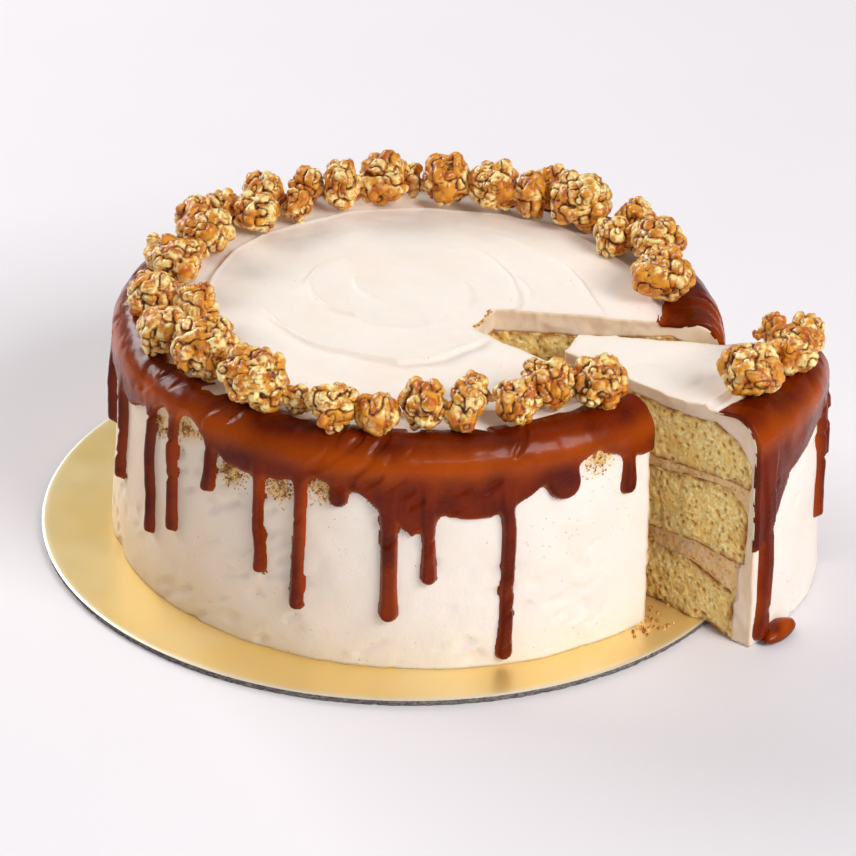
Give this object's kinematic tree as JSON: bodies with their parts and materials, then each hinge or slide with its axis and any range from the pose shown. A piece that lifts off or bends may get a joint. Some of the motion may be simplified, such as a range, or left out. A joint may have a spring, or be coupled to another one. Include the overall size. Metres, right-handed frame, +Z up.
{
  "type": "caramel popcorn cake",
  "caption": "Round layer cake on a gold board, iced, with caramel drips down the side, a ring of caramel popcorn on the rim and one slice drawn part way out.",
  "frame": {"origin": "centre of the board's underside, where the cake rests", "axes": "+Z up; the slice is drawn out towards +X and a little towards -Y; the pictured front faces -Y"},
  "size_m": [0.2956, 0.272, 0.1156],
  "materials": {
    "gold_card": "cake board covered with smooth gold foil paper, pale at its rim, on a dark grey fibrous core",
    "sponge": "open golden crumb with a thin brown crust at the edges of each layer",
    "buttercream": "pale caramel buttercream, satin, with palette knife swirls, fine pits and specks",
    "caramel": "glossy dark red-brown caramel, orange where it is thin",
    "popcorn": "popcorn glazed with golden amber caramel, pale cream where bare, with dark husk bits"
  },
  "bodies": {
    "root": {"cake_board": "gold_card", "cake_sponge_bottom": "sponge", "cake_filling_lower": "buttercream", "cake_sponge_middle": "sponge", "cake_filling_upper": "buttercream", "cake_sponge_top": "sponge", "cake_icing": "buttercream", "cake_caramel": "caramel", "slice_sponge_bottom": "sponge", "slice_filling_lower": "buttercream", "slice_sponge_middle": "sponge", "slice_filling_upper": "buttercream", "slice_sponge_top": "sponge", "slice_icing": "buttercream", "slice_caramel": "caramel", "popcorn_01": "popcorn", "popcorn_02": "popcorn", "popcorn_03": "popcorn", "popcorn_04": "popcorn", "popcorn_05": "popcorn", "popcorn_06": "popcorn", "popcorn_07": "popcorn", "popcorn_08": "popcorn", "popcorn_09": "popcorn", "popcorn_10": "popcorn", "popcorn_11": "popcorn", "popcorn_12": "popcorn", "popcorn_13": "popcorn", "popcorn_14": "popcorn", "popcorn_15": "popcorn", "popcorn_16": "popcorn", "popcorn_17": "popcorn", "popcorn_18": "popcorn", "popcorn_19": "popcorn", "popcorn_20": "popcorn", "popcorn_21": "popcorn", "popcorn_22": "popcorn", "popcorn_23": "popcorn", "popcorn_24": "popcorn", "popcorn_25": "popcorn", "popcorn_26": "popcorn", "popcorn_27": "popcorn", "popcorn_28": "popcorn", "popcorn_29": "popcorn", "popcorn_30": "popcorn", "popcorn_31": "popcorn", "popcorn_32": "popcorn", "popcorn_33": "popcorn", "popcorn_34": "popcorn", "popcorn_35": "popcorn", "popcorn_36": "popcorn", "popcorn_37": "popcorn", "popcorn_38": "popcorn", "popcorn_39": "popcorn"}
  },
  "joints": []
}
